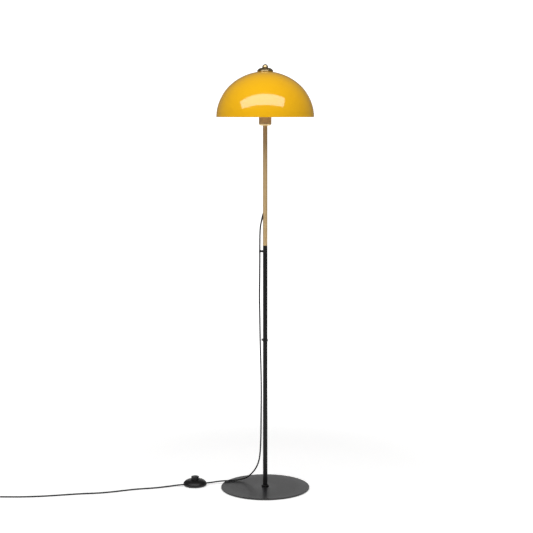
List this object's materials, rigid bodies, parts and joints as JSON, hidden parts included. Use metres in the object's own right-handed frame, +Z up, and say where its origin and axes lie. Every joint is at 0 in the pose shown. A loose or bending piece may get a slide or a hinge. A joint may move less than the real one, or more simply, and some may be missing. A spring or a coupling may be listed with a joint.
{
  "type": "mushroom floor lamp",
  "caption": "Floor lamp with a domed shade over a slim pole on a flat round foot, and a lead with a foot switch.",
  "frame": {"origin": "on the floor, at the middle of the round foot under the pole", "axes": "+Z up along the pole, -X towards the side that the lead and its foot switch lie on, -Y towards the viewer"},
  "size_m": [1.0529, 0.3, 1.3145],
  "materials": {
    "yellow_lacquer": "gloss lacquer on spun metal",
    "polished_brass": "polished",
    "satin_brass": "satin",
    "black_enamel": "satin black powder coat",
    "black_plate": "satin black powder coat",
    "zinc_steel": "zinc plated",
    "foam": "closed-cell foam",
    "black_rubber": "soft",
    "black_moulding": "moulded",
    "cable_sheath": "satin sheath",
    "core_insulation": "insulation",
    "bare_brass": "stamped",
    "opal_diffuser": "opal",
    "white_housing": "moulded",
    "bulb_cap_metal": "bright",
    "dark_glass": "fused insulator",
    "light_board": "coated",
    "plug_pin_metal": "nickel plated"
  },
  "bodies": {
    "lamp": {"base_pad": "foam", "base_plate": "black_plate", "base_screw": "zinc_steel", "foot_collar": "black_enamel", "lower_tube": "black_enamel", "middle_tube": "black_enamel", "upper_tube": "satin_brass", "foot_plug": "zinc_steel", "lower_joint_stud": "zinc_steel", "lower_joint_bush": "zinc_steel", "upper_joint_stud": "zinc_steel", "upper_joint_bush": "zinc_steel", "tube_top_bush": "zinc_steel", "exit_bush": "black_rubber", "upper_cord_clip": "black_moulding", "lower_cord_clip": "black_moulding", "threaded_nipple": "zinc_steel", "nipple_nut": "zinc_steel", "lampholder_cup": "satin_brass", "holder_base": "black_moulding", "contact_block": "black_moulding", "holder_terminal_screws": "bare_brass", "holder_skirt": "black_moulding", "screw_shell": "bare_brass", "centre_contact": "bare_brass", "holder_ring": "black_moulding", "bulb_tip_contact": "bulb_cap_metal", "bulb_insulator": "dark_glass", "bulb_screw_cap": "bulb_cap_metal", "bulb_housing": "white_housing", "bulb_light_board": "light_board", "bulb_dome": "opal_diffuser", "shade_bracket": "zinc_steel", "finial_stud": "zinc_steel", "shade_washer": "black_rubber", "shade": "yellow_lacquer", "finial_cap": "polished_brass", "finial_ball": "polished_brass", "switch_cover": "black_moulding", "switch_base": "black_moulding", "switch_feet": "black_rubber", "switch_cover_screws": "zinc_steel", "switch_cord_clamps": "black_moulding", "switch_clamp_screws": "zinc_steel", "switch_contact_leaves": "bare_brass", "switch_terminal_screws": "bare_brass", "switch_spring": "zinc_steel", "inner_cable": "cable_sheath", "holder_core_leads": "core_insulation", "switch_core_leads": "core_insulation", "cord_to_switch": "cable_sheath", "cord_to_coil": "cable_sheath", "cord_coil": "cable_sheath", "cord_to_plug": "cable_sheath", "plug_body": "black_moulding", "plug_pins": "plug_pin_metal", "plug_strain_relief": "black_rubber"},
    "button": {"switch_button": "black_moulding"},
    "rotor": {"switch_rotor": "white_housing", "switch_contact_bridge": "bare_brass"}
  },
  "joints": [
    {"name": "button_press", "type": "slide", "parent": "lamp", "child": "button", "axis": [0, 0, -1], "range_m": [0, 0.0035], "stiffness_N_per_m": 500, "springref_m": -0.004, "deforming": ["switch_spring"]},
    {"name": "rotor_turn", "type": "hinge", "parent": "lamp", "child": "rotor", "pos_m": [-0.2213, 0.0256, 0.007], "axis": [0, 0, 1], "range_deg": [0, 45]}
  ],
  "couplings": [
    {"joint": "rotor_turn", "follows": "button_press", "rad_per_m": 224.4}
  ]
}
